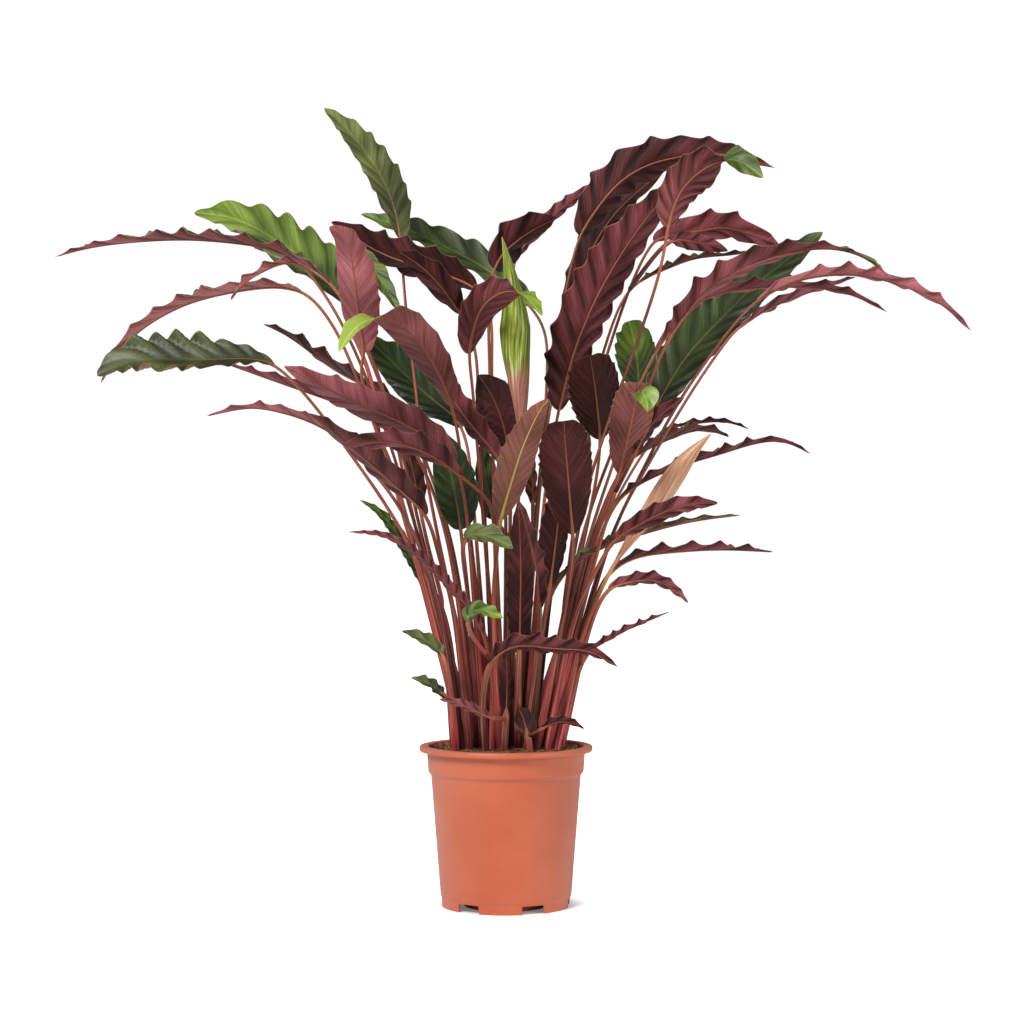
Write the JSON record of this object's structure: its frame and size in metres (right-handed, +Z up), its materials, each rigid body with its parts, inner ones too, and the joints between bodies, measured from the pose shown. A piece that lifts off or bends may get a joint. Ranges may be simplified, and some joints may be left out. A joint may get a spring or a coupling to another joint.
{
  "type": "potted velvet calathea",
  "caption": "Standing potted foliage plant: long stems fan out of the soil and carry narrow waved leaves, green above and wine purple below, in a tapered plastic pot.",
  "frame": {"origin": "middle of the pot's flat underside, where it stands", "axes": "+Z up, -Y towards the viewer of the picture, +X to the viewer's right, the way the leaves spread widest"},
  "size_m": [0.9253, 0.5479, 0.8324],
  "materials": {
    "pot_plastic": "satin moulded plastic, terracotta colour",
    "potting_soil": "rough fibrous potting mix",
    "purple_leaf": "velvety underside, wine purple",
    "green_leaf": "satin top, green with pale rib",
    "young_leaf": "soft rolled new leaf, yellow green"
  },
  "bodies": {
    "root": {"pot": "pot_plastic", "soil": "potting_soil", "leaf_left_1": "purple_leaf", "leaf_left_2": "green_leaf", "leaf_left_3": "purple_leaf", "leaf_left_4": "green_leaf", "leaf_left_5": "purple_leaf", "leaf_upper_left_1": "green_leaf", "leaf_upper_left_2": "green_leaf", "leaf_upper_left_3": "purple_leaf", "leaf_upper_left_4": "purple_leaf", "leaf_upper_left_5": "purple_leaf", "leaf_mid_left_1": "purple_leaf", "leaf_mid_left_2": "green_leaf", "leaf_mid_left_3": "purple_leaf", "leaf_mid_left_4": "purple_leaf", "leaf_mid_left_5": "purple_leaf", "leaf_mid_left_6": "purple_leaf", "leaf_mid_left_7": "purple_leaf", "leaf_mid_left_8": "purple_leaf", "leaf_mid_left_9": "purple_leaf", "leaf_crown_1": "purple_leaf", "spear_crown": "young_leaf", "leaf_crown_2": "purple_leaf", "leaf_crown_3": "purple_leaf", "leaf_middle_1": "purple_leaf", "leaf_middle_2": "purple_leaf", "leaf_middle_3": "purple_leaf", "leaf_middle_4": "purple_leaf", "leaf_middle_5": "green_leaf", "leaf_middle_6": "purple_leaf", "leaf_middle_7": "purple_leaf", "leaf_upper_right_1": "purple_leaf", "leaf_upper_right_2": "purple_leaf", "leaf_upper_right_3": "purple_leaf", "leaf_upper_right_4": "purple_leaf", "leaf_upper_right_5": "purple_leaf", "leaf_upper_right_6": "purple_leaf", "leaf_right_1": "purple_leaf", "leaf_right_2": "green_leaf", "leaf_right_3": "purple_leaf", "leaf_right_4": "purple_leaf", "leaf_right_5": "purple_leaf", "leaf_mid_right_1": "green_leaf", "leaf_mid_right_2": "purple_leaf", "leaf_mid_right_3": "purple_leaf", "leaf_mid_right_4": "purple_leaf", "leaf_mid_right_5": "purple_leaf", "leaf_mid_right_6": "purple_leaf", "spear_right": "young_leaf", "leaf_low_right_1": "purple_leaf", "leaf_low_right_2": "purple_leaf", "leaf_low_right_3": "purple_leaf", "leaf_low_front": "purple_leaf", "leaf_low_left": "green_leaf", "shoot_right": "purple_leaf", "shoot_front_left": "purple_leaf", "shoot_left": "green_leaf", "shoot_front": "purple_leaf", "shoot_front_right": "purple_leaf"}
  },
  "joints": []
}
